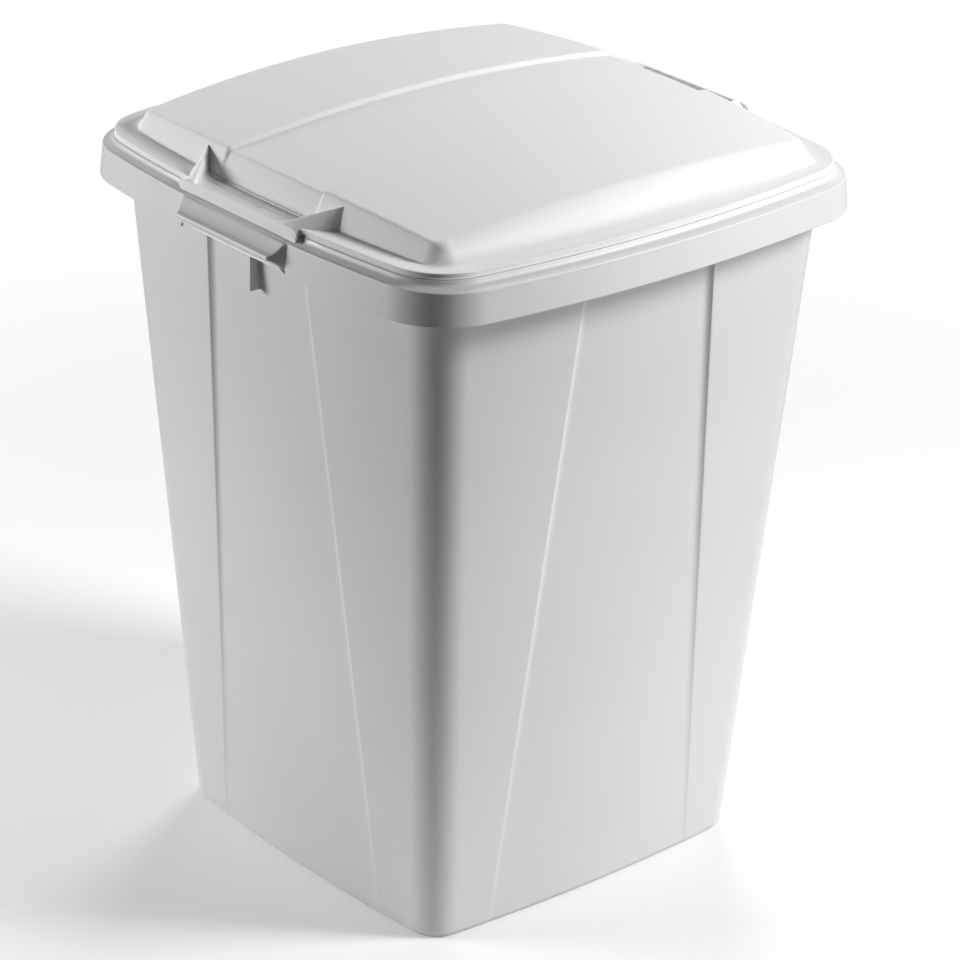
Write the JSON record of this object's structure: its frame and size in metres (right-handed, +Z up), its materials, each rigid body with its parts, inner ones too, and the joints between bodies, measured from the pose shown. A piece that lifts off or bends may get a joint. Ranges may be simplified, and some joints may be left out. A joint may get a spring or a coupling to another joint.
{
  "type": "waste container",
  "caption": "Square tapered waste container with bowed sides, a deep skirted rim with carrying ledges, and a domed lift-off lid with two grips.",
  "frame": {"origin": "centre of the object at the level of the floor it stands on", "axes": "+Z up; X runs through the two carrying ledges and the lid's two grips; the plain bowed front faces -Y"},
  "size_m": [0.5084, 0.4956, 0.6481],
  "materials": {
    "container_plastic": "light grey polypropylene, satin, very fine moulded grain",
    "lid_plastic": "light grey polypropylene, satin, very fine moulded grain"
  },
  "bodies": {
    "container": {"container": "container_plastic"},
    "lid": {"lid": "lid_plastic"}
  },
  "joints": [
    {"name": "lid_lift", "type": "slide", "parent": "container", "child": "lid", "axis": [0, 0, 1], "range_m": [0, 0.15]}
  ]
}
